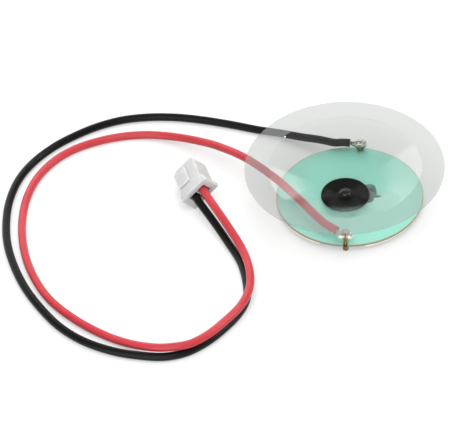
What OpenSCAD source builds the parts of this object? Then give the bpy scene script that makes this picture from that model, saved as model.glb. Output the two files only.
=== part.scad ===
// Piezo tweeter driver: a clear film cone driven by a piezo bender under a round board,
// with two leads that end in a two-way crimp housing.
// Millimetres, +Z up. The origin is under the cone's apex, on the surface that the pins stand on.

/* [Film cone] */
// Outer diameter of the rim flange
film_d = 36.5; // [34:0.5:40]
// Diameter of the cone's mouth, inside the flange
mouth_d = 28; // [24:0.5:30]
// Height of the flange's top face above the board
film_rise = 7.16; // [6:0.02:9]
// Thickness of the film
film_t = 0.15; // [0.1:0.01:0.25]
// Diameter of the flat at the apex, where the film is glued to the hub
apex_flat_d = 3; // [2.4:0.1:4]
// Radius of the folds at the apex and at the mouth
fold_r = 0.5; // [0.3:0.1:1]

/* [Hub and glue] */
// Diameter of the hub's disc
hub_d = 8.9; // [7.5:0.1:10]
// Thickness of the hub's disc
hub_t = 0.62; // [0.5:0.02:1]
// Running gap between the hub's disc and the board
hub_gap = 0.1; // [0.05:0.01:0.2]
// Radius round the hub's top edge
hub_edge_r = 0.45; // [0.1:0.05:0.45]
// Diameter of the stem that goes through the board to the bender
stem_d = 4.4; // [3.5:0.1:4.8]
// Diameter of the glue bead on the apex
glue_d = 2.3; // [1.6:0.1:2.4]
// Height of the glue bead
glue_h = 0.55; // [0.3:0.05:0.8]

/* [Board] */
// Diameter of the carrier board
board_d = 27; // [26.5:0.1:28]
// Thickness of the carrier board
board_t = 0.4; // [0.35:0.05:0.8]
// Diameter of the hole that the hub's stem goes through
board_hole_d = 6.6; // [6.4:0.1:7]
// Sideways distance of the board's centre from the cone's axis
board_shift_x = 0.8; // [0:0.1:0.9]
// Front to back distance of the board's centre from the cone's axis
board_shift_y = 0.2; // [0:0.1:0.4]

/* [Support ring] */
// Thickness of the ring
ring_t = 0.45; // [0.4:0.05:0.7]
// Diameter of the ring's opening
ring_bore_d = 21; // [20.8:0.1:22]
// Width of the notch at each terminal
ring_notch_w = 8.3; // [6:0.1:10]
// Depth of the notch at each terminal
ring_notch_depth = 1.2; // [1:0.05:1.3]

/* [Bender] */
// Diameter of the brass shim
shim_d = 23; // [22.5:0.1:23.4]
// Thickness of the brass shim
shim_t = 0.15; // [0.1:0.01:0.2]
// Clearance round the shim in the ring's seat
shim_clearance = 0.1; // [0.05:0.01:0.15]
// Depth of the shim's face inside the ring's lower face
shim_recess = 0.1; // [0.08:0.01:0.15]
// Diameter of the piezo ceramic
ceramic_d = 20; // [18:0.1:20.4]
// Thickness of the piezo ceramic
ceramic_t = 0.2; // [0.15:0.01:0.23]
// Diameter of the silver electrode
electrode_d = 19; // [16:0.1:19.4]
// Thickness of the silver electrode
electrode_t = 0.02; // [0.01:0.005:0.03]

/* [Terminals] */
// Distance from each pin's axis to the board's edge
terminal_inset = 0.55; // [0.5:0.05:0.7]
// Sideways distance of the pins from the board's centre
terminal_offset = 0.6; // [0:0.1:1]
// Diameter of the pin's lower end
pin_tail_d = 1.1; // [1.04:0.02:1.16]
// Diameter of the pin's neck in the board's notch
pin_neck_d = 0.68; // [0.6:0.02:0.7]
// Height of the pins' tails under the board
pin_tail_h = 1.1; // [0.95:0.01:1.2]
// Radius round the tip of the tail
pin_tip_r = 0.15; // [0.1:0.05:0.4]
// Clearance round the neck in the board's notch
pin_clearance = 0.02; // [0.01:0.01:0.05]
// Height of the pin's top above the lead's axis
pin_top_rise = 0.7; // [0.6:0.02:0.9]

/* [Solder joints] */
// Largest diameter of the solder along the conductor
solder_d = 1.4; // [1.2:0.02:1.5]
// Reach of the solder from the pin towards the lead
solder_reach_in = 1.6; // [1.3:0.05:1.65]
// Reach of the solder from the pin away from the lead
solder_reach_out = 1.25; // [1:0.05:1.4]
// Diameter of the solder collar round the pin
collar_d = 1.5; // [1.3:0.05:1.7]
// Depth of the collar below the lead's axis
collar_drop = 0.9; // [0.8:0.02:1]
// Diameter of the solder dots on the bender
dot_d = 1.2; // [0.9:0.05:1.3]
// Height of the solder dot on the electrode
electrode_dot_h = 0.2; // [0.16:0.01:0.22]
// Height of the solder dot on the shim
shim_dot_h = 0.34; // [0.3:0.01:0.36]

/* [Leads] */
// Diameter of the insulation
wire_d = 1.5; // [1.3:0.05:1.55]
// Diameter of the tinned conductor
strand_d = 0.72; // [0.6:0.02:0.8]
// Height of the red lead's axis at the front terminal
front_wire_z = 3.4; // [3.2:0.05:3.7]
// Height of the black lead's axis at the rear terminal
rear_wire_z = 2.9; // [2.8:0.05:3.2]
// Distance from the pin's axis to the end of the red insulation
front_strip = 2.1; // [1.8:0.05:2.2]
// Distance from the pin's axis to the end of the black insulation
rear_strip = 1.85; // [1.75:0.05:2]
// Diameter of the fine leads under the board
fine_lead_d = 0.2; // [0.12:0.01:0.24]
// Clearance over each fine lead, under the face that it passes
fine_lead_clearance = 0.03; // [0.02:0.01:0.05]

/* [Connector] */
// Distance between the two ways
pitch = 2; // [2:0.05:2.2]
// Width of the housing's body
housing_w = 4.9; // [4.8:0.1:5.4]
// Thickness of the housing's body
housing_t = 3.5; // [3.2:0.05:4]
// Length of the housing in the mating direction
housing_l = 7.5; // [7:0.1:8.5]
// Width over the wings at the rear
wing_w = 6.4; // [6:0.1:6.8]
// Length of the wings
wing_l = 2.3; // [2:0.1:2.6]
// Height of the polarising rib on the top face
rib_h = 0.5; // [0.3:0.05:0.8]
// Width of the polarising rib
rib_w = 2.8; // [2:0.1:3.2]
// Length of the polarising rib
rib_l = 3.7; // [3:0.1:4]
// Width of each contact's cavity
cavity_w = 1.8; // [1.75:0.01:1.85]
// Height of each contact's cavity
cavity_h = 1.9; // [1.85:0.05:2.2]
// Thickness of the housing's front wall
front_wall = 0.7; // [0.5:0.05:1]
// Side of each mating hole in the front wall
mating_hole = 0.9; // [0.8:0.05:1]
// Side of each lance window in the lower face
window_w = 1; // [0.8:0.05:1.2]
// Depth of the insulation inside the housing
wire_depth = 1.7; // [1.5:0.1:1.9]

/* [Contacts] */
// Thickness of the contacts' metal
contact_t = 0.1; // [0.08:0.01:0.12]
// Width of the contact's box
box_w = 1.2; // [1.1:0.05:1.4]
// Height of the contact's box
box_h = 1.5; // [1.3:0.05:1.7]
// Length of the contact's box
box_l = 2.9; // [2.6:0.1:3]
// Gap between the insulation and the crimp round it
crimp_gap = 0.02; // [0.01:0.01:0.03]
// Length of each crimp
crimp_l = 1; // [0.8:0.05:1.1]

/* [Hidden] */

$fn = 96;
slack = 0.5;                                // how far a cut runs past a face

// Heights
board_z = pin_tail_h;                       // the board's lower face
board_top = board_z + board_t;
ring_z = board_z - ring_t;                  // the ring's lower face
shim_z = ring_z + shim_recess;              // the shim's lower face
ceramic_z = shim_z - ceramic_t;
electrode_z = ceramic_z - electrode_t;
hub_z = board_top + hub_gap;                // the disc's lower face
hub_top = hub_z + hub_t;
apex_z = hub_top + film_t / 2;              // the film's mid plane at the apex
flange_z = board_top + film_rise - film_t / 2;

// Film
cone_angle = atan2(flange_z - apex_z, (mouth_d - apex_flat_d) / 2);
fold_run = fold_r * tan(cone_angle / 2);    // length of a fold's tangent

// Terminals
terminal_x = board_shift_x + terminal_offset;
front_y = board_shift_y - board_d / 2 + terminal_inset;
rear_y = board_shift_y + board_d / 2 - terminal_inset;
red_angle = 145;                            // plan direction in which each lead leaves its pin
black_angle = 178;
front_pin = [terminal_x, front_y];
rear_pin = [terminal_x, rear_y];
lead_out = 1.4;                             // straight length of insulation at each end
electrode_dot_y = board_shift_y - electrode_d / 3;
shim_dot_y = board_shift_y + (ceramic_d + shim_d) / 4;
electrode_lead_z = electrode_z - fine_lead_clearance - fine_lead_d / 2;
shim_lead_z = ring_z - fine_lead_clearance - fine_lead_d / 2;

// Connector: it lies on one wing, rolled over by the stiffness of its two leads
housing_yaw = 24;
housing_roll = 43;
housing_pos = [-26.3, -3.8,
               wing_w / 2 * sin(housing_roll) + housing_t / 2 * cos(housing_roll)];
cavity_front = housing_l - front_wall;
crimp_start = wire_depth - crimp_l;         // rear edge of the crimp round the insulation
wire_crimp_start = wire_depth + 0.15;
box_start = cavity_front - box_l;

// Hand-laid routes of the two leads between their straight ends
red_points = [
    [-3.3, -9.6, 3.75], [-6, -6.8, 4.1], [-9.8, -2.8, 4.5], [-13.5, 0.9, 4.6], [-19, 5.8, 4.25],
    [-24.7, 10, 3.1], [-29, 12.3, 2.2], [-33.5, 14, 1.4], [-38.5, 14.8, 0.9], [-43.3, 14.2, 0.75],
    [-48, 12.4, 0.75], [-52.2, 9.7, 0.75], [-55.4, 6.1, 0.75], [-57.7, 1.3, 0.75],
    [-58.7, -4.2, 0.75], [-58.6, -9.7, 0.75], [-57.7, -15.2, 0.75], [-55.9, -21, 0.75],
    [-53.3, -26.3, 0.75], [-50, -31, 0.75], [-46, -34.7, 0.75], [-41.5, -37.8, 0.75],
    [-37, -40.1, 0.8], [-33, -41.6, 1.1], [-29, -42.7, 1.8], [-25.8, -42.8, 2.3],
    [-22.8, -41.7, 2.3], [-19.9, -39, 2.3], [-17.3, -35.2, 2.3], [-15.2, -31.2, 2.3],
    [-14.3, -26.8, 2.3], [-14.9, -22.1, 2.3], [-16.8, -17.1, 2.45], [-20.1, -11.8, 3.1],
    [-23.8, -6.5, 3.9]];
black_points = [
    [-3.5, 13.5, 2.55], [-6.5, 14.7, 2.05], [-10, 15.8, 1.5], [-14, 17, 1.1], [-18.5, 18, 0.8],
    [-23.5, 19.1, 0.75], [-29, 20, 0.75], [-34.5, 20.4, 0.75], [-39.8, 20, 0.75],
    [-44.5, 18.8, 0.75], [-48.8, 16.6, 0.75], [-52.8, 13.5, 0.75], [-56.3, 9.9, 0.75],
    [-59.2, 5.5, 0.75], [-61.1, 0.5, 0.75], [-61.8, -5.3, 0.75], [-61.4, -11.2, 0.75],
    [-60.1, -17.2, 0.75], [-57.8, -23, 0.75], [-54.8, -28.5, 0.75], [-51, -33.6, 0.75],
    [-46.8, -38, 0.75], [-42, -41.2, 0.75], [-36.5, -43.2, 0.75], [-31.5, -43.9, 0.75],
    [-27.2, -43.8, 0.75], [-23.4, -42.3, 0.75], [-20.2, -39.4, 0.75], [-17.6, -35.7, 0.75],
    [-15.6, -31.8, 0.75], [-14.7, -27.8, 0.75], [-15.4, -23.3, 0.75], [-17.1, -18.4, 0.75],
    [-19.9, -13.8, 0.95], [-22.6, -9.9, 1.5], [-25.2, -6.6, 2.3]];
red_route = concat(lead_ends(front_pin, front_wire_z, front_strip, red_angle),
                   red_points, housing_ends(pitch / 2));
black_route = concat(lead_ends(rear_pin, rear_wire_z, rear_strip, black_angle),
                     black_points, housing_ends(-pitch / 2));

function reversed(list) = [for (i = [len(list) - 1:-1:0]) list[i]];

function unit(v) = v / norm(v);

// Points of an arc from angle a0 to a1
function arc(centre, r, a0, a1, steps) =
    [for (i = [0:steps]) let (a = a0 + (a1 - a0) * i / steps) centre + r * [cos(a), sin(a)]];

// The film's profile at a distance s from its mid plane, from the axis to the rim
function film_line(s) = concat(
    [[0, apex_z + s]],
    arc([apex_flat_d / 2 - fold_run, apex_z + fold_r], fold_r - s, -90, cone_angle - 90, 4),
    arc([mouth_d / 2 + fold_run, flange_z - fold_r], fold_r + s, 90 + cone_angle, 90, 4),
    [[film_d / 2, flange_z + s]]);

// A point of the connector, from its own X across, Y towards the mating side and Z thickness
function in_housing(x, y, z) =
    let (turned = [x * cos(housing_roll) - z * sin(housing_roll), y,
                   x * sin(housing_roll) + z * cos(housing_roll)])
    housing_pos + [turned[0] * cos(housing_yaw) - turned[1] * sin(housing_yaw),
                   turned[0] * sin(housing_yaw) + turned[1] * cos(housing_yaw), turned[2]];

// The first two points of a lead, straight out from its pin
function lead_ends(pin, z, strip, angle) =
    [for (d = [strip, strip + lead_out]) [pin[0] + d * cos(angle), pin[1] + d * sin(angle), z]];

// The last three points of a lead, straight into its way in the housing
function housing_ends(x) = [for (y = [-0.9, 0.4, wire_depth]) in_housing(x, y, 0)];

// Direction of a route at one of its points
function heading(route, i) =
    unit(route[min(i + 1, len(route) - 1)] - route[max(i - 1, 0)]);

// One ring of a tube's points, square to the route
function tube_ring(route, i, r, sides) =
    let (along = heading(route, i), side = unit(cross(along, [0, 0, 1])), top = cross(side, along))
    [for (k = [0:sides - 1]) let (a = 360 * k / sides) route[i] + r * (cos(a) * side + sin(a) * top)];

module lead_tube(route, d, sides = 8) {
    rings = len(route);
    points = [for (i = [0:rings - 1]) each tube_ring(route, i, d / 2, sides)];
    first = [for (k = [0:sides - 1]) k];
    last = [for (k = [sides - 1:-1:0]) (rings - 1) * sides + k];
    walls = [for (i = [0:rings - 2]) for (k = [0:sides - 1])
        let (a = i * sides + k, b = i * sides + (k + 1) % sides)
            each [[a, a + sides, b], [b, a + sides, b + sides]]];
    polyhedron(points, concat([first], walls, [last]));
}

module on_board() {
    translate([board_shift_x, board_shift_y, 0]) children();
}

module at_pin(pin) {
    translate([pin[0], pin[1], 0]) children();
}

module in_connector() {
    translate(housing_pos) rotate([0, -housing_roll, housing_yaw]) children();
}

module cone_film() {
    color([0.85, 0.87, 0.87, 0.45])
        rotate_extrude()
            polygon(concat(film_line(film_t / 2), reversed(film_line(-film_t / 2))));
}

module coupler_hub() {
    color([0.07, 0.07, 0.07])
        rotate_extrude()
            polygon(concat(
                [[0, shim_z + shim_t], [stem_d / 2, shim_z + shim_t], [stem_d / 2, hub_z],
                 [hub_d / 2, hub_z]],
                arc([hub_d / 2 - hub_edge_r, hub_top - hub_edge_r], hub_edge_r, 0, 90, 4),
                [[0, hub_top]]));
}

module apex_glue() {
    dome_r = (pow(glue_d / 2, 2) + pow(glue_h, 2)) / (2 * glue_h);
    foot = asin((dome_r - glue_h) / dome_r);
    color([0.03, 0.03, 0.03])
        rotate_extrude()
            polygon(concat([[0, hub_top + film_t]],
                           arc([0, hub_top + film_t + glue_h - dome_r], dome_r, foot, 90, 8)));
}

// A rim notch for a pin's neck, open outwards
module pin_notch(pin, outwards) {
    notch_d = pin_neck_d + 2 * pin_clearance;
    at_pin(pin) translate([0, 0, board_z - slack]) {
        cylinder(d = notch_d, h = board_t + 2 * slack);
        translate([-notch_d / 2, outwards > 0 ? 0 : -notch_d * 2, 0])
            cube([notch_d, notch_d * 2, board_t + 2 * slack]);
    }
}

module carrier_board() {
    color([0.58, 0.85, 0.76])
        difference() {
            on_board() translate([0, 0, board_z]) cylinder(d = board_d, h = board_t);
            on_board() translate([0, 0, board_z - slack])
                cylinder(d = board_hole_d, h = board_t + 2 * slack);
            pin_notch(front_pin, -1);
            pin_notch(rear_pin, 1);
        }
}

module support_ring() {
    seat_d = shim_d + 2 * shim_clearance;
    notch_y = board_d / 2 - ring_notch_depth;
    color([0.76, 0.64, 0.55])
        on_board()
            difference() {
                rotate_extrude()
                    polygon([[seat_d / 2, ring_z], [board_d / 2, ring_z], [board_d / 2, board_z],
                             [ring_bore_d / 2, board_z], [ring_bore_d / 2, shim_z + shim_t],
                             [seat_d / 2, shim_z + shim_t]]);
                for (side = [0, 180])
                    rotate([0, 0, side])
                        translate([-ring_notch_w / 2, notch_y, ring_z - slack])
                            cube([ring_notch_w, board_d, ring_t + 3 * slack]);
            }
}

module piezo_shim() {
    color([0.82, 0.66, 0.3])
        on_board() translate([0, 0, shim_z]) cylinder(d = shim_d, h = shim_t);
}

module piezo_ceramic() {
    color([0.8, 0.78, 0.7])
        on_board() translate([0, 0, ceramic_z]) cylinder(d = ceramic_d, h = ceramic_t);
}

module silver_electrode() {
    color([0.86, 0.87, 0.88])
        on_board() translate([0, 0, electrode_z]) cylinder(d = electrode_d, h = electrode_t);
}

// Turned pin: a thick tail under the board, a neck through its notch and up into the solder
module terminal_pin(pin, wire_z) {
    top = wire_z + pin_top_rise;
    color([0.78, 0.6, 0.28])
        at_pin(pin)
            rotate_extrude()
                polygon(concat(
                    [[0, 0]],
                    arc([pin_tail_d / 2 - pin_tip_r, pin_tip_r], pin_tip_r, -90, 0, 5),
                    [[pin_tail_d / 2, board_z], [pin_neck_d / 2, board_z],
                     [pin_neck_d / 2, top], [0, top]]));
}

module front_terminal_pin() {
    terminal_pin(front_pin, front_wire_z);
}

module rear_terminal_pin() {
    terminal_pin(rear_pin, rear_wire_z);
}

// Solder wetted along the conductor and round the pin
module solder_joint(pin, wire_z, angle, strip) {
    r = solder_d / 2;
    end_r = r * 0.62;
    collar_foot = pin_neck_d / 2 + 0.1;
    color([0.83, 0.83, 0.81])
        at_pin(pin) translate([0, 0, wire_z])
            difference() {
                union() {
                    rotate([0, 90, angle])
                        rotate_extrude()
                            polygon([[0, -solder_reach_out], [end_r * 0.6, -solder_reach_out],
                                     [end_r, -solder_reach_out + 0.2], [r * 0.92, -0.6], [r, 0],
                                     [r * 0.94, 0.6], [end_r * 1.1, solder_reach_in - 0.1],
                                     [end_r, solder_reach_in], [0, solder_reach_in]]);
                    rotate_extrude()
                        polygon([[0, -collar_drop], [collar_foot, -collar_drop],
                                 [collar_foot + 0.1, -collar_drop + 0.25],
                                 [collar_d / 2, -0.2], [collar_d / 2, 0.25],
                                 [collar_d / 2 - 0.2, 0.5], [0, 0.6]]);
                }
                translate([0, 0, -wire_z]) cylinder(d = pin_neck_d, h = 2 * wire_z);
                rotate([0, 90, angle]) cylinder(d = strand_d, h = strip);
            }
}

module front_solder_joint() {
    solder_joint(front_pin, front_wire_z, red_angle, front_strip);
}

module rear_solder_joint() {
    solder_joint(rear_pin, rear_wire_z, black_angle, rear_strip);
}

// Tinned conductor from the end of the insulation to the pin's side
module strand_end(pin, wire_z, angle, strip) {
    color([0.8, 0.8, 0.78])
        difference() {
            at_pin(pin) translate([0, 0, wire_z])
                rotate([0, 90, angle]) cylinder(d = strand_d, h = strip);
            at_pin(pin) cylinder(d = pin_neck_d, h = 2 * wire_z);
        }
}

module red_strands() {
    strand_end(front_pin, front_wire_z, red_angle, front_strip);
}

module black_strands() {
    strand_end(rear_pin, rear_wire_z, black_angle, rear_strip);
}

module red_wire() {
    color([0.84, 0.25, 0.29]) lead_tube(red_route, wire_d);
}

module black_wire() {
    color([0.1, 0.1, 0.1]) lead_tube(black_route, wire_d);
}

// Fine straight lead from a pin's tail to a y position on the bender
module fine_lead(pin, to_y, z) {
    color([0.8, 0.6, 0.35])
        difference() {
            at_pin(pin) translate([0, 0, z])
                rotate([to_y > pin[1] ? -90 : 90, 0, 0])
                    cylinder(d = fine_lead_d, h = abs(to_y - pin[1]));
            at_pin(pin) cylinder(d = pin_tail_d, h = board_z);
        }
}

module shim_lead() {
    fine_lead(rear_pin, shim_dot_y, shim_lead_z);
}

module electrode_lead() {
    fine_lead(front_pin, electrode_dot_y, electrode_lead_z);
}

// Solder dome under a face, with a fine lead's end let into it from one side
module solder_dot(y, face_z, height, lead_z, lead_turn) {
    dome_r = (pow(dot_d / 2, 2) + pow(height, 2)) / (2 * height);
    foot = asin((dome_r - height) / dome_r);
    color([0.83, 0.83, 0.81])
        difference() {
            translate([terminal_x, y, face_z]) mirror([0, 0, 1])
                rotate_extrude()
                    polygon(concat([[0, 0]], arc([0, height - dome_r], dome_r, foot, 90, 6)));
            translate([terminal_x, y, lead_z]) rotate([lead_turn, 0, 0])
                cylinder(d = fine_lead_d, h = dot_d);
        }
}

module shim_solder_dot() {
    solder_dot(shim_dot_y, shim_z, shim_dot_h, shim_lead_z, -90);
}

module electrode_solder_dot() {
    solder_dot(electrode_dot_y, electrode_z, electrode_dot_h, electrode_lead_z, 90);
}

module connector_housing() {
    color([0.93, 0.93, 0.92])
        in_connector()
            difference() {
                housing_body();
                for (x = [-pitch / 2, pitch / 2]) way_cuts(x);
            }
}

module housing_body() {
    edge = 0.5;
    translate([0, 0, -housing_t / 2])
        linear_extrude(housing_t)
            polygon([[-wing_w / 2, 0], [wing_w / 2, 0], [wing_w / 2, wing_l * 0.3],
                     [housing_w / 2, wing_l], [housing_w / 2, housing_l - edge],
                     [housing_w / 2 - edge, housing_l], [-housing_w / 2 + edge, housing_l],
                     [-housing_w / 2, housing_l - edge], [-housing_w / 2, wing_l],
                     [-wing_w / 2, wing_l * 0.3]]);
    translate([-housing_w / 2, housing_l - 1.2 - rib_l, housing_t / 2])
        cube([rib_w, rib_l, rib_h]);
    translate([-housing_w / 2, 0, housing_t / 2]) cube([housing_w, wing_l, rib_h * 0.4]);
}

// Cavity, mating hole with a lead-in, and lance window of one way
module way_cuts(x) {
    lead_in = 0.15;
    translate([x - cavity_w / 2, -slack, -cavity_h / 2])
        cube([cavity_w, cavity_front + slack, cavity_h]);
    translate([x - mating_hole / 2, cavity_front - slack, -mating_hole / 2])
        cube([mating_hole, front_wall + 2 * slack, mating_hole]);
    translate([x, housing_l + 0.01, 0]) rotate([90, 0, 0])
        linear_extrude(lead_in) square(mating_hole + 2 * lead_in, center = true);
    translate([x - window_w / 2, box_start + 0.3, -housing_t / 2 - slack])
        cube([window_w, window_w * 1.4, housing_t / 2 - cavity_h / 2 + 2 * slack]);
}

// Crimp contact: a box for the mating pin, a stepped floor and two crimps
module crimp_contact(x) {
    insulation_r = wire_d / 2 + crimp_gap;
    floor_w = box_w * 0.7;
    floor_z = [-insulation_r - contact_t, -strand_d / 2 - contact_t, -box_h / 2];
    step_y = [wire_crimp_start - 0.1, wire_crimp_start, wire_crimp_start + crimp_l,
              wire_crimp_start + crimp_l + 0.1];
    color([0.8, 0.72, 0.5])
        in_connector() translate([x, 0, 0]) {
            translate([0, box_start, 0]) rotate([-90, 0, 0])
                linear_extrude(box_l - 0.1)
                    difference() {
                        square([box_w, box_h], center = true);
                        square([box_w - 2 * contact_t, box_h - 2 * contact_t], center = true);
                    }
            translate([-floor_w / 2, 0, 0]) rotate([90, 0, 90])
                linear_extrude(floor_w)
                    difference() {
                        floor_outline(floor_z, step_y, 0);
                        floor_outline(floor_z, step_y, contact_t);
                    }
            translate([0, crimp_start, 0]) rotate([-90, 0, 0])
                crimp_tube(insulation_r, crimp_l);
            translate([0, wire_crimp_start, 0]) rotate([-90, 0, 0])
                crimp_tube(strand_d / 2, crimp_l);
        }
}

// Area above the contact's stepped floor, raised by a distance
module floor_outline(floor_z, step_y, up) {
    polygon([[crimp_start - up, 0], [crimp_start - up, floor_z[0] + up],
             [step_y[0], floor_z[0] + up], [step_y[1], floor_z[1] + up],
             [step_y[2], floor_z[1] + up], [step_y[3], floor_z[2] + up],
             [box_start + contact_t, floor_z[2] + up], [box_start + contact_t, 0]]);
}

module crimp_tube(bore_r, length) {
    difference() {
        cylinder(r = bore_r + contact_t, h = length);
        translate([0, 0, -slack]) cylinder(r = bore_r, h = length + 2 * slack);
    }
}

module red_contact() {
    crimp_contact(pitch / 2);
}

module black_contact() {
    crimp_contact(-pitch / 2);
}

// Conductor end held in the inner crimp
module contact_strands(x) {
    color([0.8, 0.5, 0.35])
        in_connector() translate([x, wire_depth, 0]) rotate([-90, 0, 0])
            cylinder(d = strand_d, h = wire_crimp_start + crimp_l + 0.1 - wire_depth);
}

module red_contact_strands() {
    contact_strands(pitch / 2);
}

module black_contact_strands() {
    contact_strands(-pitch / 2);
}

cone_film();
coupler_hub();
apex_glue();
carrier_board();
support_ring();
piezo_shim();
piezo_ceramic();
silver_electrode();
front_terminal_pin();
rear_terminal_pin();
front_solder_joint();
rear_solder_joint();
red_strands();
black_strands();
red_wire();
black_wire();
shim_lead();
electrode_lead();
shim_solder_dot();
electrode_solder_dot();
connector_housing();
red_contact();
black_contact();
red_contact_strands();
black_contact_strands();
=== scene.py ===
import math

import bpy
from mathutils import Matrix, Vector


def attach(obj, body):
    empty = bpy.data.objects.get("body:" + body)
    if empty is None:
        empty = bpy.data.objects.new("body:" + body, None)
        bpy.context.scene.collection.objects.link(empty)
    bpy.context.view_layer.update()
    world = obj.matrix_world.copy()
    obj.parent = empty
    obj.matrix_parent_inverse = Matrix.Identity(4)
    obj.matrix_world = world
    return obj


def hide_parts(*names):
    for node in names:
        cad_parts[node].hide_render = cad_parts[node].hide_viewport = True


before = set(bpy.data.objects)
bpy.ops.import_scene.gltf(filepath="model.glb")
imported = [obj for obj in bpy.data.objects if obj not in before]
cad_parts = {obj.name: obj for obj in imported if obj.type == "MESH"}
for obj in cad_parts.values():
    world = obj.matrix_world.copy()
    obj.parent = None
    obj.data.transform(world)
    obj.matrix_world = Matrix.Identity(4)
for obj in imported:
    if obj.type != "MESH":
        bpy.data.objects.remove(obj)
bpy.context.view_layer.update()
mm = 0.001
print("frame loaded:", len(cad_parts), "nodes")


def toLinear(hexColour):
    # sRGB hex to the linear values that shader sockets want
    parts = [int(hexColour[i:i + 2], 16) / 255 for i in (1, 3, 5)]
    return [p / 12.92 if p <= 0.04045 else ((p + 0.055) / 1.055) ** 2.4 for p in parts] + [1.0]


def newMaterial(name):
    material = bpy.data.materials.new(name)
    material.use_nodes = True
    material.node_tree.nodes.clear()
    return material, material.node_tree


def addNode(tree, kind, settings=None, inputs=None, links=None):
    # settings are the node's own properties, inputs its socket values, links pairs of socket and output
    node = tree.nodes.new(kind)
    for key, value in (settings or {}).items():
        setattr(node, key, value)
    for key, value in (inputs or {}).items():
        node.inputs[key].default_value = value
    for key, output in (links or {}).items():
        tree.links.new(output, node.inputs[key])
    return node


def deselectAll():
    if bpy.context.object and bpy.context.object.mode != "OBJECT":
        bpy.ops.object.mode_set(mode="OBJECT")
    bpy.ops.object.select_all(action="DESELECT")


def makeActive(obj):
    deselectAll()
    obj.select_set(True)
    bpy.context.view_layer.objects.active = obj


def applyPlace(obj):
    makeActive(obj)
    bpy.ops.object.transform_apply(location=True, rotation=True, scale=True)


def applyModifiers(obj):
    makeActive(obj)
    for modifier in list(obj.modifiers):
        bpy.ops.object.modifier_apply(modifier=modifier.name)


def turnFacesOut(obj):
    makeActive(obj)
    bpy.ops.object.mode_set(mode="EDIT")
    bpy.ops.mesh.select_all(action="SELECT")
    bpy.ops.mesh.normals_make_consistent(inside=False)
    bpy.ops.object.mode_set(mode="OBJECT")


def smoothByAngle(obj, degrees):
    makeActive(obj)
    bpy.ops.object.shade_smooth_by_angle(angle=math.radians(degrees))


def joinParts(parts, name):
    deselectAll()
    for part in parts:
        part.select_set(True)
    bpy.context.view_layer.objects.active = parts[0]
    bpy.ops.object.join()
    joined = bpy.context.object
    joined.name = name
    return joined


def mergedCopy(nodeName, pieceName):
    # a CAD node is loose triangles, so its copy is welded before it is shaped
    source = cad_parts[nodeName]
    copy = source.copy()
    copy.data = source.data.copy()
    copy.name = pieceName
    bpy.context.collection.objects.link(copy)
    makeActive(copy)
    bpy.ops.object.mode_set(mode="EDIT")
    bpy.ops.mesh.select_all(action="SELECT")
    bpy.ops.mesh.remove_doubles(threshold=0.002 * mm)
    bpy.ops.mesh.dissolve_limited(angle_limit=math.radians(1))
    bpy.ops.object.mode_set(mode="OBJECT")
    return copy


def dress(obj, material):
    obj.data.materials.clear()
    obj.data.materials.append(material)


def finishPiece(obj, material, nodes=()):
    dress(obj, material)
    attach(obj, "root")
    if nodes:
        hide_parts(*nodes)


camera = {"place": (0.054492, -0.442112, 0.399342), "lens": 260.58, "sensor": 36.0,
          "nearest": 0.05, "farthest": 20,
          "right": (0.99025399, 0.13186478, -0.04481878), "up": (-0.0554933, 0.6687334, 0.74142844)}
cameraData = bpy.data.cameras.new("camera")
cameraData.lens = camera["lens"]
cameraData.sensor_width = camera["sensor"]
cameraData.clip_start = camera["nearest"]
cameraData.clip_end = camera["farthest"]
cameraObject = bpy.data.objects.new("camera", cameraData)
bpy.context.collection.objects.link(cameraObject)
right = Vector(camera["right"]).normalized()
up = Vector(camera["up"]).normalized()
turn = Matrix((right, up, right.cross(up))).transposed().to_4x4()
cameraObject.matrix_world = Matrix.Translation(camera["place"]) @ turn
bpy.context.scene.camera = cameraObject
bpy.context.scene.view_settings.view_transform = "Standard"
print("camera set")


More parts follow.
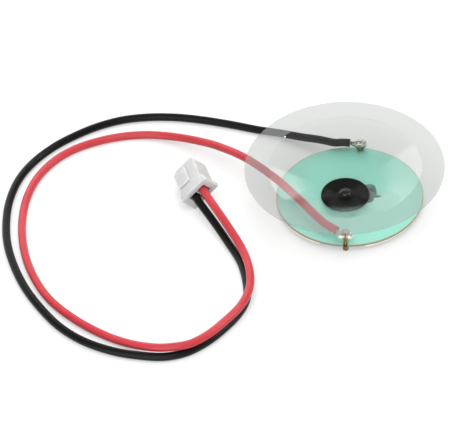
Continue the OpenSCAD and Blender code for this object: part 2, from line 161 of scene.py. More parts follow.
leads = {
    "diameter": 1.5 * mm, "step": 0.45,        # step between points in mm
    # routes in mm, from the pins to the ways of the housing
    "red": [(-0.320, -11.545, 3.4), (-1.467, -10.742, 3.4),
            (-3.3, -9.6, 3.75), (-6, -6.8, 4.1), (-9.8, -2.8, 4.5), (-13.5, 0.9, 4.6), (-19, 5.8, 4.25),
            (-24.7, 10, 3.1), (-29, 12.3, 2.2), (-33.5, 14, 1.4), (-38.5, 14.8, 0.9),
            (-43.3, 14.2, 0.75), (-48, 12.4, 0.75), (-52.2, 9.7, 0.75), (-55.4, 6.1, 0.75),
            (-57.7, 1.3, 0.75), (-58.7, -4.2, 0.75), (-58.6, -9.7, 0.75), (-57.7, -15.2, 0.75),
            (-55.9, -21, 0.75), (-53.3, -26.3, 0.75), (-50, -31, 0.75), (-46, -34.7, 0.75),
            (-41.5, -37.8, 0.75), (-37, -40.1, 0.8), (-33, -41.6, 1.1), (-29, -42.7, 1.8),
            (-25.8, -42.8, 2.3), (-22.8, -41.7, 2.3), (-19.9, -39, 2.3), (-17.3, -35.2, 2.3),
            (-15.2, -31.2, 2.3), (-14.3, -26.8, 2.3), (-14.9, -22.1, 2.3), (-16.8, -17.1, 2.45),
            (-20.1, -11.8, 3.1), (-23.8, -6.5, 3.9),
            (-25.266, -4.325, 4.144), (-25.795, -3.137, 4.144), (-26.323, -1.95, 4.144)],
    "black": [(-0.449, 13.215, 2.9), (-1.848, 13.263, 2.9),
              (-3.5, 13.5, 2.55), (-6.5, 14.7, 2.05), (-10, 15.8, 1.5), (-14, 17, 1.1),
              (-18.5, 18, 0.8), (-23.5, 19.1, 0.75), (-29, 20, 0.75), (-34.5, 20.4, 0.75),
              (-39.8, 20, 0.75), (-44.5, 18.8, 0.75), (-48.8, 16.6, 0.75), (-52.8, 13.5, 0.75),
              (-56.3, 9.9, 0.75), (-59.2, 5.5, 0.75), (-61.1, 0.5, 0.75), (-61.8, -5.3, 0.75),
              (-61.4, -11.2, 0.75), (-60.1, -17.2, 0.75), (-57.8, -23, 0.75), (-54.8, -28.5, 0.75),
              (-51, -33.6, 0.75), (-46.8, -38, 0.75), (-42, -41.2, 0.75), (-36.5, -43.2, 0.75),
              (-31.5, -43.9, 0.75), (-27.2, -43.8, 0.75), (-23.4, -42.3, 0.75),
              (-20.2, -39.4, 0.75), (-17.6, -35.7, 0.75), (-15.6, -31.8, 0.75),
              (-14.7, -27.8, 0.75), (-15.4, -23.3, 0.75), (-17.1, -18.4, 0.75),
              (-19.9, -13.8, 0.95), (-22.6, -9.9, 1.5), (-25.2, -6.6, 2.3),
              (-26.602, -4.92, 2.78), (-27.131, -3.732, 2.78), (-27.659, -2.545, 2.78)],
}


def smoothRoute(points, step):
    # a curve that passes through every route point, as small steps in metres
    points = [Vector(p) * mm for p in points]
    points = [2 * points[0] - points[1]] + points + [2 * points[-1] - points[-2]]
    line = []
    for i in range(1, len(points) - 2):
        p0, p1, p2, p3 = points[i - 1:i + 3]
        count = max(2, round((p2 - p1).length / (step * mm)))
        for k in range(count):
            t = k / count
            line.append(0.5 * (2 * p1 + (p2 - p0) * t + (2 * p0 - 5 * p1 + 4 * p2 - p3) * t * t
                               + (3 * p1 - p0 - 3 * p2 + p3) * t ** 3))
    return line + [points[-2]]


def makeLead(name, points):
    line = smoothRoute(points, leads["step"])
    curve = bpy.data.curves.new(name, "CURVE")
    curve.dimensions = "3D"
    curve.bevel_depth = leads["diameter"] / 2
    curve.bevel_resolution = 5
    curve.use_fill_caps = True
    spline = curve.splines.new("POLY")
    spline.points.add(len(line) - 1)
    for point, place in zip(spline.points, line):
        point.co = (*place, 1)
    spline.use_smooth = True
    lead = bpy.data.objects.new(name, curve)
    bpy.context.collection.objects.link(lead)
    length = sum((b - a).length for a, b in zip(line, line[1:]))
    return lead, line[0], length


leadLooks = {
    "patchScale": 160, "grainScale": 2600,     # per metre: patches of 6 mm and a grain of 0.4 mm
    "rough": (0.26, 0.36), "grainDepth": 0.02,
    "red": {"light": "#C03840", "dark": "#B53038", "specular": 0.4},
    "black": {"light": "#0D0D0C", "dark": "#090908", "specular": 0.2},
}


def leadMaterial(name, look):
    # soft PVC insulation, extruded: satin, slightly uneven along its length, faint handling dust
    material, tree = newMaterial(name)
    place = addNode(tree, "ShaderNodeTexCoord").outputs["Object"]
    patches = addNode(tree, "ShaderNodeTexNoise", inputs={"Scale": leadLooks["patchScale"], "Detail": 3},
                      links={"Vector": place})
    grain = addNode(tree, "ShaderNodeTexNoise", inputs={"Scale": leadLooks["grainScale"], "Detail": 2},
                    links={"Vector": place})
    colour = addNode(tree, "ShaderNodeValToRGB", links={"Fac": patches.outputs["Fac"]})
    colour.color_ramp.elements[0].position = 0.35
    colour.color_ramp.elements[0].color = toLinear(look["dark"])
    colour.color_ramp.elements[1].position = 0.62
    colour.color_ramp.elements[1].color = toLinear(look["light"])
    smoothest, roughest = leadLooks["rough"]
    rough = addNode(tree, "ShaderNodeMapRange", inputs={"To Min": smoothest, "To Max": roughest},
                    links={"Value": grain.outputs["Fac"]})
    bump = addNode(tree, "ShaderNodeBump",
                   inputs={"Strength": 0.12, "Distance": leadLooks["grainDepth"] * mm},
                   links={"Height": grain.outputs["Fac"]})
    shader = addNode(tree, "ShaderNodeBsdfPrincipled",
                     inputs={"IOR": 1.53, "Specular IOR Level": look["specular"]},
                     links={"Base Color": colour.outputs["Color"], "Roughness": rough.outputs["Result"],
                            "Normal": bump.outputs["Normal"]})
    addNode(tree, "ShaderNodeOutputMaterial", links={"Surface": shader.outputs["BSDF"]})
    return material


redLead, redExit, redLength = makeLead("redLead", leads["red"])
blackLead, blackExit, blackLength = makeLead("blackLead", leads["black"])
redPvc = leadMaterial("redPvcInsulation", leadLooks["red"])
blackPvc = leadMaterial("blackPvcInsulation", leadLooks["black"])
finishPiece(redLead, redPvc, ["red_wire"])
finishPiece(blackLead, blackPvc, ["black_wire"])
print("leads made: %.1f mm and %.1f mm" % (redLength / mm, blackLength / mm))


film = {"flatRadius": 1.5, "mouthRadius": 14, "rimRadius": 18.25, "thickness": 0.15,
        "apexZ": 2.295, "flangeZ": 8.585, "foldRadius": 0.5, "segments": 160,
        "centreRings": (0.25, 0.7), "foldSteps": 6, "coneSteps": 14, "flangeSteps": 5,
        # radii between which the film's mirror comes up to full from a weak centre, painted shade that
        # darkens the hub seen through it
        "shadeInnerRadius": 6.2, "shadeOuterRadius": 9.8, "shadedCentreMirror": 0.1,
        "coneTint": "#F0F1F0", "flangeTint": "#E4E5E4", "mirror": (0.07, 0.6), "rough": (0.08, 0.17)}


def arcPoints(centreR, centreZ, radius, startAngle, endAngle, steps):
    angles = [math.radians(startAngle + (endAngle - startAngle) * i / steps) for i in range(steps + 1)]
    return [(centreR + radius * math.cos(a), centreZ + radius * math.sin(a)) for a in angles]


def filmProfile():
    # radius and height of the film's mid line, from the apex to the rim
    foldSteps, coneSteps, flangeSteps = film["foldSteps"], film["coneSteps"], film["flangeSteps"]
    fold, apexZ, flangeZ = film["foldRadius"], film["apexZ"], film["flangeZ"]
    slope = math.degrees(math.atan2(flangeZ - apexZ, film["mouthRadius"] - film["flatRadius"]))
    run = fold * math.tan(math.radians(slope / 2))
    line = [(radius, apexZ) for radius in film["centreRings"]]
    line += arcPoints(film["flatRadius"] - run, apexZ + fold, fold, -90, slope - 90, foldSteps)
    inner = line[-1]
    outer = (film["mouthRadius"] + run - fold * math.sin(math.radians(slope)),
             flangeZ - fold * (1 - math.cos(math.radians(slope))))
    line += [(inner[0] + (outer[0] - inner[0]) * i / coneSteps,
              inner[1] + (outer[1] - inner[1]) * i / coneSteps) for i in range(1, coneSteps)]
    line += arcPoints(film["mouthRadius"] + run, flangeZ - fold, fold, 90 + slope, 90, foldSteps)
    last = line[-1][0]
    line += [(last + (film["rimRadius"] - last) * i / flangeSteps, flangeZ)
             for i in range(1, flangeSteps + 1)]
    return line


def latheFrom(name, line, segments):
    # a disc is extruded outwards step by step along the profile
    deselectAll()
    bpy.ops.mesh.primitive_circle_add(vertices=segments, radius=line[0][0] * mm, fill_type="TRIFAN",
                                      location=(0, 0, line[0][1] * mm))
    obj = bpy.context.object
    obj.name = name
    applyPlace(obj)
    bpy.ops.object.mode_set(mode="EDIT")
    bpy.ops.mesh.select_all(action="SELECT")
    bpy.ops.mesh.region_to_loop()
    radius, height = line[0]
    for nextRadius, nextHeight in line[1:]:
        rise = (nextHeight - height) * mm
        bpy.ops.mesh.extrude_region_move(TRANSFORM_OT_translate={"value": (0, 0, rise)})
        scale = nextRadius / radius
        bpy.ops.transform.resize(value=(scale, scale, 1), center_override=(0, 0, 0))
        radius, height = nextRadius, nextHeight
    bpy.ops.object.mode_set(mode="OBJECT")
    return obj


coneFilm = latheFrom("coneFilmSkin", filmProfile(), film["segments"])
turnFacesOut(coneFilm)
wall = coneFilm.modifiers.new("wall", "SOLIDIFY")
wall.thickness = film["thickness"] * mm
wall.offset = 0
applyModifiers(coneFilm)
smoothByAngle(coneFilm, 40)


def filmMaterial():
    # thermoformed clear polyester film: each face mirrors a little, more at a slant, and the sheet
    # takes some light away, so it looks light grey over a white surface
    material, tree = newMaterial("clearPolyesterFilm")
    place = addNode(tree, "ShaderNodeTexCoord").outputs["Object"]
    # waves of 11 mm from the forming, and a haze of 2.4 mm
    waves = addNode(tree, "ShaderNodeTexNoise", inputs={"Scale": 90, "Detail": 1}, links={"Vector": place})
    haze = addNode(tree, "ShaderNodeTexNoise", inputs={"Scale": 420, "Detail": 4}, links={"Vector": place})
    bump = addNode(tree, "ShaderNodeBump", inputs={"Strength": 0.2, "Distance": 0.03 * mm},
                   links={"Height": waves.outputs["Fac"]})
    facing = addNode(tree, "ShaderNodeLayerWeight", inputs={"Blend": 0.5})
    slant = addNode(tree, "ShaderNodeMath", {"operation": "POWER"}, {1: 4.0}, {0: facing.outputs["Facing"]})
    mirrored = addNode(tree, "ShaderNodeMapRange",
                       inputs={"To Min": film["mirror"][0], "To Max": film["mirror"][1]},
                       links={"Value": slant.outputs[0]})
    # the film mirrors less round its apex, which is painted shade that darkens the hub seen through it
    flatPlace = addNode(tree, "ShaderNodeVectorMath", {"operation": "MULTIPLY"}, {1: (1, 1, 0)}, {0: place})
    radius = addNode(tree, "ShaderNodeVectorMath", {"operation": "LENGTH"},
                     links={0: flatPlace.outputs["Vector"]})
    unmarked = addNode(tree, "ShaderNodeMapRange", {"interpolation_type": "SMOOTHSTEP"},
                    {"From Min": film["shadeInnerRadius"] * mm, "From Max": film["shadeOuterRadius"] * mm,
                     "To Min": film["shadedCentreMirror"], "To Max": 1.0}, {"Value": radius.outputs["Value"]})
    mirrored = addNode(tree, "ShaderNodeMath", {"operation": "MULTIPLY"},
                       links={0: mirrored.outputs["Result"], 1: unmarked.outputs["Result"]})
    rough = addNode(tree, "ShaderNodeMapRange",
                    inputs={"To Min": film["rough"][0], "To Max": film["rough"][1]},
                    links={"Value": haze.outputs["Fac"]})
    # the flange takes a little more light away than the cone, which was drawn out when it was formed
    onFlange = addNode(tree, "ShaderNodeMapRange",
                       inputs={"From Min": (film["mouthRadius"] - 0.1) * mm,
                               "From Max": (film["mouthRadius"] + 0.2) * mm},
                       links={"Value": radius.outputs["Value"]})
    tint = addNode(tree, "ShaderNodeMix", {"data_type": "RGBA"},
                   {6: toLinear(film["coneTint"]), 7: toLinear(film["flangeTint"])},
                   {0: onFlange.outputs["Result"]})
    clear = addNode(tree, "ShaderNodeBsdfTransparent", links={"Color": tint.outputs[2]})
    mirror = addNode(tree, "ShaderNodeBsdfPrincipled",
                     inputs={"Base Color": toLinear("#F6F7F7"), "Metallic": 1.0},
                     links={"Roughness": rough.outputs["Result"], "Normal": bump.outputs["Normal"]})
    skin = addNode(tree, "ShaderNodeMixShader",
                   links={"Fac": mirrored.outputs[0], 1: clear.outputs["BSDF"], 2: mirror.outputs["BSDF"]})
    addNode(tree, "ShaderNodeOutputMaterial", links={"Surface": skin.outputs["Shader"]})
    return material


finishPiece(coneFilm, filmMaterial(), ["cone_film"])
print("film made")


# patch is the width of the colour patches and grain the depth of the surface grain, both in mm
finishes = {
    # moulded ABS from a finely eroded tool: a dull black with hardly any sheen
    "mouldedBlackAbs": {"light": "#100D0B", "dark": "#090707", "patch": 0.35, "rough": (0.5, 0.62),
                        "grain": 0.004, "shader": {"IOR": 1.54, "Specular IOR Level": 0.09}},
    # a thin grey patch on the board beside the hub, shiny in places
    "translucentGreyPatch": {"light": "#7F8B87", "dark": "#464E4C", "patch": 1.1, "rough": (0.2, 0.4),
                         "grain": 0.03, "shader": {"IOR": 1.56}},
    # black epoxy cured as a drop: a wet gloss
    "curedBlackEpoxy": {"light": "#100F0F", "dark": "#070707", "patch": 0.5, "rough": (0.06, 0.12),
                        "grain": 0.02, "shader": {"IOR": 1.56}},
    # rolled brass sheet: yellow, evenly satin
    "rolledBrassSheet": {"light": "#C9A04E", "dark": "#B98E3F", "patch": 0.8, "rough": (0.24, 0.4),
                         "grain": 0.002, "shader": {"Metallic": 1.0}},
    # fired piezo ceramic: a matt cream like unglazed ware
    "firedPiezoCeramic": {"light": "#C9C3AE", "dark": "#B8B19B", "patch": 0.3, "rough": (0.55, 0.7),
                          "grain": 0.006, "shader": {"IOR": 1.6}},
    # screen-printed silver paste, fired: a frosted silver
    "firedSilverPaste": {"light": "#D8DADC", "dark": "#C3C6C9", "patch": 0.2, "rough": (0.35, 0.5),
                         "grain": 0.004, "shader": {"Metallic": 1.0}},
    # turned brass gone brown: dark, with soft highlights
    "turnedBrassPin": {"light": "#A89060", "dark": "#705A3E", "patch": 0.4, "rough": (0.24, 0.38),
                       "grain": 0.006, "shader": {"Metallic": 1.0}},
    # tin solder wetted from the iron: bright, with rounded highlights
    "brightTinSolder": {"light": "#F2F1E9", "dark": "#DEDCD0", "patch": 0.35, "rough": (0.2, 0.32),
                        "grain": 0.02, "shader": {"Metallic": 1.0}},
    # drawn copper strands, tinned: silver with a warm cast
    "tinnedCopperStrands": {"light": "#E2DFD6", "dark": "#C8C2B4", "patch": 0.2, "rough": (0.24, 0.38),
                            "grain": 0.01, "shader": {"Metallic": 1.0}},
    # stamped and tin-plated bronze: a yellowish silver
    "stampedTinPlate": {"light": "#CFC7AE", "dark": "#B6AC90", "patch": 0.3, "rough": (0.24, 0.36),
                        "grain": 0.004, "shader": {"Metallic": 1.0}},
    # moulded natural nylon: light sinks in a little, so its edges look soft
    "naturalNylon": {"light": "#C6C6C6", "dark": "#BEBEBE", "patch": 0.6, "rough": (0.4, 0.55),
                     "grain": 0.008,
                     "shader": {"IOR": 1.53, "Subsurface Weight": 0.8, "Subsurface Radius": (1, 1, 1),
                                "Subsurface Scale": 1.2 * mm}},
    # punched paper laminate: matt, pale tan at its cut edge
    "paperLaminateEdge": {"light": "#FBF3EA", "dark": "#F2E6DA", "patch": 0.25, "rough": (0.6, 0.75),
                          "grain": 0.01, "shader": {"IOR": 1.5}},
    # laminate printed with a mint lacquer: a smooth half gloss
    "mintLacqueredLaminate": {"light": "#A0E2D2", "dark": "#98DCCA", "patch": 0.5, "rough": (0.3, 0.42),
                              "grain": 0.004, "shader": {"IOR": 1.5}},
}


def finishNodes(name, look):
    material, tree = newMaterial(name)
    place = addNode(tree, "ShaderNodeTexCoord").outputs["Object"]
    patches = addNode(tree, "ShaderNodeTexNoise", inputs={"Scale": 1 / (look["patch"] * mm), "Detail": 4},
                      links={"Vector": place})
    colour = addNode(tree, "ShaderNodeValToRGB", links={"Fac": patches.outputs["Fac"]})
    colour.color_ramp.elements[0].position = 0.3
    colour.color_ramp.elements[0].color = toLinear(look["dark"])
    colour.color_ramp.elements[1].position = 0.7
    colour.color_ramp.elements[1].color = toLinear(look["light"])
    smoothest, roughest = look["rough"]
    rough = addNode(tree, "ShaderNodeMapRange", inputs={"To Min": smoothest, "To Max": roughest},
                    links={"Value": patches.outputs["Fac"]})
    bump = addNode(tree, "ShaderNodeBump", inputs={"Strength": 0.5, "Distance": look["grain"] * mm},
                   links={"Height": patches.outputs["Fac"]})
    shader = addNode(tree, "ShaderNodeBsdfPrincipled", inputs=look["shader"],
                     links={"Base Color": colour.outputs["Color"], "Roughness": rough.outputs["Result"],
                            "Normal": bump.outputs["Normal"]})
    addNode(tree, "ShaderNodeOutputMaterial", links={"Surface": shader.outputs["BSDF"]})
    return material, tree, shader


def plainFinish(name):
    return finishNodes(name, finishes[name])[0]


def heightOf(tree):
    place = addNode(tree, "ShaderNodeTexCoord").outputs["Object"]
    return addNode(tree, "ShaderNodeSeparateXYZ", links={0: place}).outputs["Z"]


def latheClosed(name, line, segments, smoothAngle):
    # a closed solid of revolution, from the centre of its top to the centre of its foot
    obj = latheFrom(name, line, segments)
    bpy.ops.object.mode_set(mode="EDIT")
    bpy.ops.mesh.select_all(action="SELECT")
    bpy.ops.mesh.remove_doubles(threshold=0.001 * mm)
    bpy.ops.mesh.fill_holes(sides=0)
    bpy.ops.object.mode_set(mode="OBJECT")
    turnFacesOut(obj)
    smoothByAngle(obj, smoothAngle)
    return obj


hub = {"radius": 4.45, "top": 2.22, "foot": 1.6, "edge": 0.45, "footChamfer": 0.03,
       "stemRadius": 2.2, "stemFoot": 0.9, "topRings": (0.4, 2.0), "edgeSteps": 8, "segments": 120}
hubLine = [(radius, hub["top"]) for radius in hub["topRings"]]
hubLine += arcPoints(hub["radius"] - hub["edge"], hub["top"] - hub["edge"], hub["edge"], 90, 0,
                     hub["edgeSteps"])
hubLine += [(hub["radius"], hub["foot"] + hub["footChamfer"]),
            (hub["radius"] - hub["footChamfer"], hub["foot"]),
            (hub["stemRadius"], hub["foot"]), (hub["stemRadius"], hub["stemFoot"])]
hubDisc = latheClosed("hubDisc", hubLine, hub["segments"], smoothAngle=35)
finishPiece(hubDisc, plainFinish("mouldedBlackAbs"), ["coupler_hub"])

# the dome starts just beside its pole, at topAngle
bead = {"radius": 1.15, "height": 0.55, "foot": 2.37, "topAngle": 86, "steps": 10, "segments": 48}
domeRadius = (bead["radius"] ** 2 + bead["height"] ** 2) / (2 * bead["height"])
domeCentre = bead["foot"] + bead["height"] - domeRadius
footAngle = math.degrees(math.asin((domeRadius - bead["height"]) / domeRadius))
dome = arcPoints(0, domeCentre, domeRadius, bead["topAngle"], footAngle, bead["steps"])
glueBead = latheClosed("glueBead", dome, bead["segments"], smoothAngle=50)
finishPiece(glueBead, plainFinish("curedBlackEpoxy"), ["apex_glue"])
print("hub and glue made")


def fuseLumps(parts, name, voxel, smoothing):
    # voxel in mm
    lump = joinParts(parts, name)
    applyPlace(lump)
    fuse = lump.modifiers.new("fuse", "REMESH")
    fuse.mode = "VOXEL"
    fuse.voxel_size = voxel * mm
    draw = lump.modifiers.new("draw", "SMOOTH")
    draw.factor = 0.7
    draw.iterations = smoothing
    applyModifiers(lump)
    bpy.ops.object.shade_smooth()
    return lump


# a thin translucent grey patch on the board to the right of the hub
greyPatch = {"foot": 1.5, "rise": 0.11, "voxel": 0.045, "smoothing": 6,
         "thinBelow": 1.5, "thickAbove": 1.59, "cover": (0.1, 0.8),      # heights in mm, and what each hides
         # centre on the board, half widths
         "lumps": [((4.2, 2.2), (1.35, 1.5)), ((4.8, 1.3), (1.0, 1.0)), ((4.9, 0.35), (1.9, 0.55)),
                   ((4.4, -0.6), (1.0, 1.1)), ((3.9, 0.8), (1.2, 2.3))]}


def makeGreyPatch():
    parts = []
    for (x, y), (halfX, halfY) in greyPatch["lumps"]:
        deselectAll()
        bpy.ops.mesh.primitive_uv_sphere_add(segments=28, ring_count=14, radius=1 * mm,
                                             location=(x * mm, y * mm, greyPatch["foot"] * mm))
        bpy.context.object.scale = (halfX, halfY, greyPatch["rise"])
        parts.append(bpy.context.object)
    return fuseLumps(parts, "greyPatchBesideHub", greyPatch["voxel"], greyPatch["smoothing"])


def greyPatchMaterial():
    # the patch hides more of the board where it is thicker
    material, tree, shader = finishNodes("translucentGreyPatch", finishes["translucentGreyPatch"])
    cover = addNode(tree, "ShaderNodeMapRange",
                    inputs={"From Min": greyPatch["thinBelow"] * mm, "From Max": greyPatch["thickAbove"] * mm,
                            "To Min": greyPatch["cover"][0], "To Max": greyPatch["cover"][1]},
                    links={"Value": heightOf(tree)})
    tree.links.new(cover.outputs["Result"], shader.inputs["Alpha"])
    return material


finishPiece(makeGreyPatch(), greyPatchMaterial())
print("grey patch made")


joints = {
    # the brown at each joint's foot is partly flux residue, partly painted shade near the board
    "voxel": 0.09, "smoothing": 16, "fluxAndShadeHex": "#6A6648", "fluxAndShadeFade": 0.8,
    "front": {"pin": (1.4, -12.75), "wireZ": 3.4, "angle": 145, "strip": 2.1,
              # height in mm up to which flux and painted shade brown the joint, and how much of a metal it
              # stays there
              "fluxAndShadeTop": 2.9, "fluxAndShadeMetal": 1.0,
              # centre from the pin's axis at the lead's height, and radius
              "lobes": [(-0.78, -0.05, 0.0, 0.74), (0.8, -0.05, 0, 0.7), (0, 0.55, 0.25, 0.72),
                        (0, 0.35, -0.45, 0.62), (-1.3, 0.7, 0, 0.5), (-0.45, 0.45, 0.2, 0.68),
                        (0.45, 0.4, 0.2, 0.68), (-0.4, 0.15, -0.4, 0.55), (0.4, 0.15, -0.4, 0.55)]},
    "rear": {"pin": (1.4, 13.15), "wireZ": 2.9, "angle": 178, "strip": 1.85,
             "fluxAndShadeTop": 3.35, "fluxAndShadeMetal": 0.15,
             "lobes": [(0.5, -0.1, 0.12, 0.86), (-0.3, -0.05, 0.05, 0.82), (-0.95, 0.0, 0.02, 0.66),
                       (-1.4, 0.03, -0.02, 0.5), (0.1, -0.1, -0.55, 0.85)]},
}


def fluxedAndShadedSolder(name, joint):
    # tin solder, bright above and brown below: partly flux left on, partly painted shade near the board
    material, tree, shader = finishNodes(name, finishes["brightTinSolder"])
    # unmarked is 0 at the foot, where flux and painted shade brown the solder and take away its metal, and 1
    # above
    unmarked = addNode(tree, "ShaderNodeMapRange", {"interpolation_type": "SMOOTHSTEP"},
                    {"From Min": (joint["fluxAndShadeTop"] - joints["fluxAndShadeFade"]) * mm,
                     "From Max": joint["fluxAndShadeTop"] * mm},
                    {"Value": heightOf(tree)})
    bare = shader.inputs["Base Color"].links[0].from_socket
    footColour = addNode(tree, "ShaderNodeMix", {"data_type": "RGBA"}, {6: toLinear(joints["fluxAndShadeHex"])},
                     {0: unmarked.outputs["Result"], 7: bare})
    tree.links.new(footColour.outputs[2], shader.inputs["Base Color"])
    metal = addNode(tree, "ShaderNodeMapRange", inputs={"To Min": joint["fluxAndShadeMetal"], "To Max": 1.0},
                    links={"Value": unmarked.outputs["Result"]})
    tree.links.new(metal.outputs["Result"], shader.inputs["Metallic"])
    return material


def makeSolder(name, joint, materialName, nodeName):
    # wetted solder: overlapping lumps are fused and drawn smooth
    parts = []
    for x, y, z, radius in joint["lobes"]:
        deselectAll()
        place = (joint["pin"][0] + x, joint["pin"][1] + y, joint["wireZ"] + z)
        bpy.ops.mesh.primitive_uv_sphere_add(segments=20, ring_count=12, radius=radius * mm,
                                             location=[v * mm for v in place])
        parts.append(bpy.context.object)
    solder = fuseLumps(parts, name, joints["voxel"], joints["smoothing"])
    finishPiece(solder, fluxedAndShadedSolder(materialName, joint), [nodeName])


strands = {"around": 6, "radius": 0.125, "pitch": 1.9,      # six strands round one, pitch in radii
           "turn": 110, "overlap": 0.1, "sides": 10, "steps": 24}     # turn in degrees per mm


def makeStrands(name, joint, nodeName):
    # one strand is screwed along its lay and copied round the middle one
    length = joint["strip"] + strands["overlap"]
    parts = []
    for k in range(strands["around"] + 1):
        deselectAll()
        offset = 0 if k == 0 else strands["radius"] * strands["pitch"]
        bpy.ops.mesh.primitive_circle_add(vertices=strands["sides"], radius=strands["radius"] * mm,
                                          fill_type="NGON", location=(offset * mm, 0, 0))
        strand = bpy.context.object
        applyPlace(strand)
        lay = strand.modifiers.new("lay", "SCREW")
        lay.axis = "Z"
        lay.angle = math.radians(strands["turn"] * length)
        lay.screw_offset = length * mm
        lay.steps = lay.render_steps = strands["steps"]
        lay.use_merge_vertices = True
        applyModifiers(strand)
        strand.rotation_euler = (0, 0, math.radians(360 / strands["around"] * k))
        applyPlace(strand)
        parts.append(strand)
    bundle = joinParts(parts, name)
    a = math.radians(joint["angle"])
    along = Vector((math.cos(a), math.sin(a), 0))
    bundle.rotation_euler = along.to_track_quat("Z", "Y").to_euler()
    bundle.location = Vector((joint["pin"][0], joint["pin"][1], joint["wireZ"])) * mm
    applyPlace(bundle)
    turnFacesOut(bundle)
    smoothByAngle(bundle, 50)
    finishPiece(bundle, tinnedCopper, [nodeName])


tinnedCopper = plainFinish("tinnedCopperStrands")
makeSolder("frontSolder", joints["front"], "fluxedAndShadedTinSolder", "front_solder_joint")
makeSolder("rearSolder", joints["rear"], "heavilyFluxedAndShadedTinSolder", "rear_solder_joint")
makeStrands("redStrandBundle", joints["front"], "red_strands")
makeStrands("blackStrandBundle", joints["rear"], "black_strands")
print("solder joints made")


keptNodes = {
    "rolledBrassSheet": ["piezo_shim"],
    "firedPiezoCeramic": ["piezo_ceramic"],
    "firedSilverPaste": ["silver_electrode"],
    "turnedBrassPin": ["front_terminal_pin", "rear_terminal_pin"],
    "brightTinSolder": ["shim_solder_dot", "electrode_solder_dot"],
    "stampedTinPlate": ["red_contact", "black_contact"],
}
for materialName, nodeNames in keptNodes.items():
    material = plainFinish(materialName)
    for nodeName in nodeNames:
        dress(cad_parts[nodeName], material)
for nodeName in ("shim_lead", "electrode_lead", "red_contact_strands", "black_contact_strands"):
    dress(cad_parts[nodeName], tinnedCopper)


board = {"centre": (0.8, 0.2), "lacquerRadius": 13.3, "lacquerFade": 0.06, "topZ": 1.47, "topFade": 0.02,
         "marginHex": "#B9B48E", "edgeShadeHex": "#7C9484"}


def boardMaterial():
    # mint lacquer on top, a bare tan margin at the rim, and the cut edge below the top painted a darker
    # grey-green as painted shade
    material, tree, shader = finishNodes("mintLacqueredLaminate", finishes["mintLacqueredLaminate"])
    lacquer = shader.inputs["Base Color"].links[0].from_socket
    place = addNode(tree, "ShaderNodeTexCoord").outputs["Object"]
    x, y = board["centre"]
    centred = addNode(tree, "ShaderNodeMapping",
                      inputs={"Location": (-x * mm, -y * mm, 0), "Scale": (1, 1, 0)}, links={"Vector": place})
    radius = addNode(tree, "ShaderNodeVectorMath", {"operation": "LENGTH"},
                     links={0: centred.outputs["Vector"]})
    onMargin = addNode(tree, "ShaderNodeMapRange",
                       inputs={"From Min": board["lacquerRadius"] * mm,
                               "From Max": (board["lacquerRadius"] + board["lacquerFade"]) * mm},
                       links={"Value": radius.outputs["Value"]})
    # below the top the board's side takes a darker grey-green: painted shade
    below = addNode(tree, "ShaderNodeMapRange",
                    inputs={"From Min": board["topZ"] * mm,
                            "From Max": (board["topZ"] - board["topFade"]) * mm},
                    links={"Value": heightOf(tree)})
    withMargin = addNode(tree, "ShaderNodeMix", {"data_type": "RGBA"}, {7: toLinear(board["marginHex"])},
                         {0: onMargin.outputs["Result"], 6: lacquer})
    withShadedEdge = addNode(tree, "ShaderNodeMix", {"data_type": "RGBA"}, {7: toLinear(board["edgeShadeHex"])},
                       {0: below.outputs["Result"], 6: withMargin.outputs[2]})
    tree.links.new(withShadedEdge.outputs[2], shader.inputs["Base Color"])
    return material


def roundedCopy(nodeName, pieceName, material, width, segments):
    # a carried-over shape with its sharp edges softened, width in mm
    piece = mergedCopy(nodeName, pieceName)
    rounding = piece.modifiers.new("rounding", "BEVEL")
    rounding.width = width * mm
    rounding.segments = segments
    rounding.limit_method = "ANGLE"
    rounding.angle_limit = math.radians(35)
    rounding.use_clamp_overlap = True
    applyModifiers(piece)
    smoothByAngle(piece, 40)
    finishPiece(piece, material, [nodeName])


roundedCopy("connector_housing", "nylonHousing", plainFinish("naturalNylon"),
            width=0.1, segments=3)
roundedCopy("carrier_board", "boardDisc", boardMaterial(), width=0.05, segments=2)
roundedCopy("support_ring", "laminateRing", plainFinish("paperLaminateEdge"),
            width=0.04, segments=2)
print("housing, board and ring made")


studio = {"floorSize": 6.0, "floorZ": -0.02 * mm, "floorGlow": 0.42, "floorHex": "#B8B8B8",
          "ceiling": 0.36, "horizon": 0.6}
deselectAll()
bpy.ops.mesh.primitive_plane_add(size=studio["floorSize"], location=(0, 0, studio["floorZ"]))
floor = bpy.context.object
floor.name = "floor"
applyPlace(floor)


def floorMaterial():
    # a matt white table top that also looks white to the camera, to metal and through the film
    material, tree = newMaterial("whiteTable")
    rays = addNode(tree, "ShaderNodeLightPath").outputs
    seen = addNode(tree, "ShaderNodeMath", {"operation": "MAXIMUM"},
                   links={0: rays["Is Camera Ray"], 1: rays["Is Glossy Ray"]})
    seen = addNode(tree, "ShaderNodeMath", {"operation": "MAXIMUM"},
                   links={0: seen.outputs[0], 1: rays["Is Transmission Ray"]})
    glow = addNode(tree, "ShaderNodeMath", {"operation": "MULTIPLY"}, {1: studio["floorGlow"]},
                   {0: seen.outputs[0]})
    emit = addNode(tree, "ShaderNodeEmission", links={"Strength": glow.outputs[0]})
    matt = addNode(tree, "ShaderNodeBsdfDiffuse", inputs={"Color": toLinear(studio["floorHex"])})
    both = addNode(tree, "ShaderNodeAddShader", links={0: emit.outputs[0], 1: matt.outputs[0]})
    addNode(tree, "ShaderNodeOutputMaterial", links={"Surface": both.outputs[0]})
    return material


dress(floor, floorMaterial())

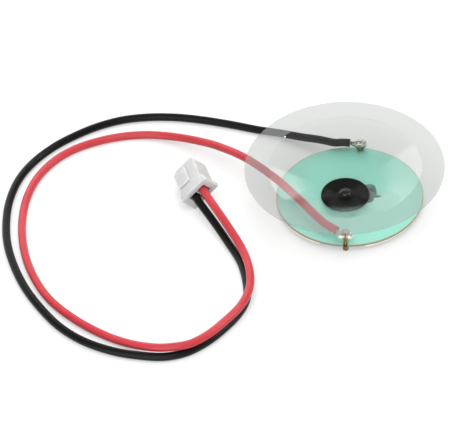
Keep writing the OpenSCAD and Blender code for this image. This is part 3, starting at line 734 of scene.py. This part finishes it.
world = bpy.data.worlds.new("studio")
bpy.context.scene.world = world
world.use_nodes = True
tree = world.node_tree
tree.nodes.clear()
direction = addNode(tree, "ShaderNodeTexCoord").outputs["Generated"]
split = addNode(tree, "ShaderNodeSeparateXYZ", links={0: direction})
level = addNode(tree, "ShaderNodeMapRange",
                inputs={"From Min": 0.1, "From Max": 0.5,
                        "To Min": studio["horizon"], "To Max": studio["ceiling"]},
                links={"Value": split.outputs["Z"]})
sky = addNode(tree, "ShaderNodeBackground", links={"Strength": level.outputs["Result"]})
addNode(tree, "ShaderNodeOutputWorld", links={"Surface": sky.outputs[0]})

# azimuth from +X towards +Y and elevation in degrees, distance and size in m, power in W,
# and whether shiny pieces mirror the lamp
lamps = {
    "lowPanel": (134, 20, 0.9, (1.0, 0.75), 2.4, True),
    "leftPanel": (71, 14, 0.9, (0.36, 0.45), 0.65, True),
    "windowPanel": (100, 42, 0.9, (0.55, 0.24), 0.68, True),
    "frontBox": (-95, 58, 1.1, (0.9, 0.5), 2.6, True),
    "lowFill": (-102, 14, 1.0, (1.1, 0.4), 4.0, True),
    "rightLamp": (8, 36, 0.9, (0.12, 0.12), 1.4, True),
    "overhead": (-80, 80, 1.2, (1.1, 1.1), 10.4, False),
    "keyLamp": (100, 60, 0.9, (0.25, 0.25), 1.2, False),
    "sparkle": (62, 56, 0.9, (0.03, 0.03), 0.5, True),
}


def addLamp(name, azimuth, elevation, distance, size, power, mirrored):
    data = bpy.data.lights.new(name, "AREA")
    data.shape = "RECTANGLE"
    data.size, data.size_y = size
    data.energy = power
    lamp = bpy.data.objects.new(name, data)
    bpy.context.collection.objects.link(lamp)
    a, e = math.radians(azimuth), math.radians(elevation)
    away = Vector((math.cos(a) * math.cos(e), math.sin(a) * math.cos(e), math.sin(e)))
    lamp.location = away * distance
    lamp.visible_glossy = mirrored
    lamp.rotation_euler = away.to_track_quat("Z", "Y").to_euler()


for name, lamp in lamps.items():
    addLamp(name, *lamp)
print("studio set")
